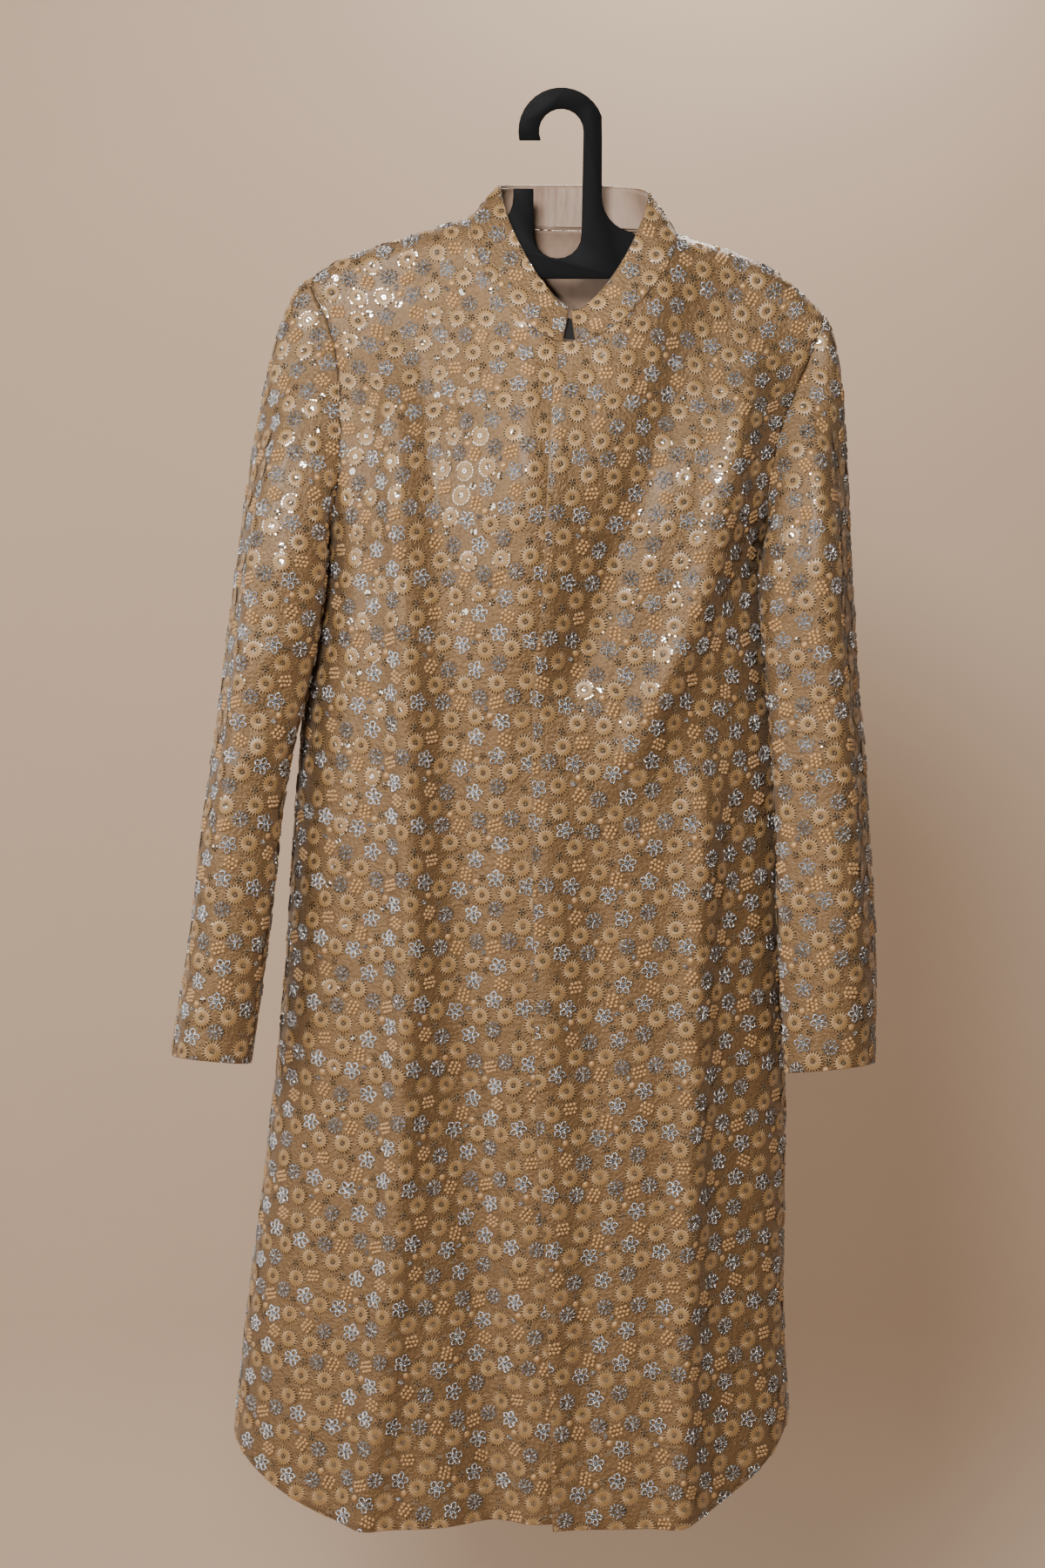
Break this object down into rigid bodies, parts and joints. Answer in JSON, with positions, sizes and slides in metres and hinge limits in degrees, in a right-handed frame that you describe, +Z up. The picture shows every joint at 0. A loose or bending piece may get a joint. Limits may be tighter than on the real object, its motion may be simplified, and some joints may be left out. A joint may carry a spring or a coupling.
{
  "type": "sherwani coat on hanger",
  "caption": "Knee-length embroidered men's sherwani coat with stand collar, hidden front closing and long sleeves, hanging on a flat plastic hanger.",
  "frame": {"origin": "top of the inside of the hanger's hook, where it rests on a rail", "axes": "+X towards the wearer's left, -Y the front of the coat, +Z up"},
  "size_m": [0.6018, 0.2107, 1.231],
  "materials": {
    "brocade": "satin ground with dense thread and sequin embroidery",
    "lining_satin": "satin",
    "facing_cloth": "matt",
    "hanger_plastic": "matt"
  },
  "bodies": {
    "root": {"front_right": "brocade", "front_left": "brocade", "back": "brocade", "sleeve_right_top": "brocade", "sleeve_right_under": "brocade", "sleeve_left_top": "brocade", "sleeve_left_under": "brocade", "collar": "brocade", "collar_lining": "lining_satin", "back_neck_lining": "lining_satin", "placket_facing": "facing_cloth", "hanger": "hanger_plastic"}
  },
  "joints": []
}
